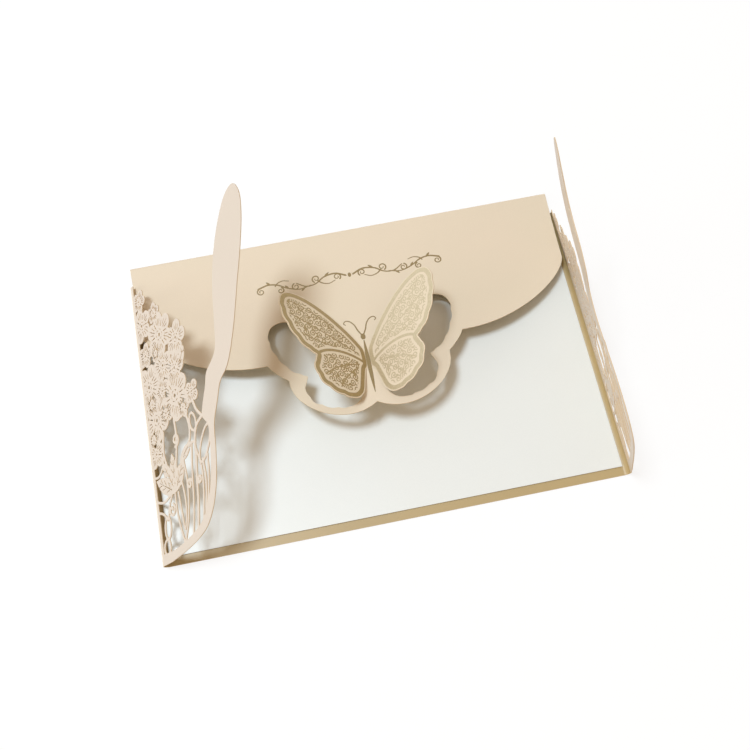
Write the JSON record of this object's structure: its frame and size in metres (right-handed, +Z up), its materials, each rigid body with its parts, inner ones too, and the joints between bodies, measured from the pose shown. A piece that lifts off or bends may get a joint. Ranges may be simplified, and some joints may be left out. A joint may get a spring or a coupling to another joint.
{
  "type": "wedding invitation card",
  "caption": "Gate-fold wedding invitation of pearl card, standing half open: laser-cut lace gates, a scalloped top flap with a die-cut butterfly, and a loose insert card.",
  "frame": {"origin": "underside of the base panel, at the middle of the card's footprint", "axes": "+X along the card's length to the right gate, +Y to the fold of the top flap at the back, +Z up"},
  "size_m": [0.186, 0.13, 0.08],
  "materials": {
    "cover_card": "pearl coated card, satin",
    "insert_card": "pearl coated card, satin"
  },
  "bodies": {
    "root": {"cover_sheet": "cover_card", "insert_card": "insert_card"}
  },
  "joints": []
}
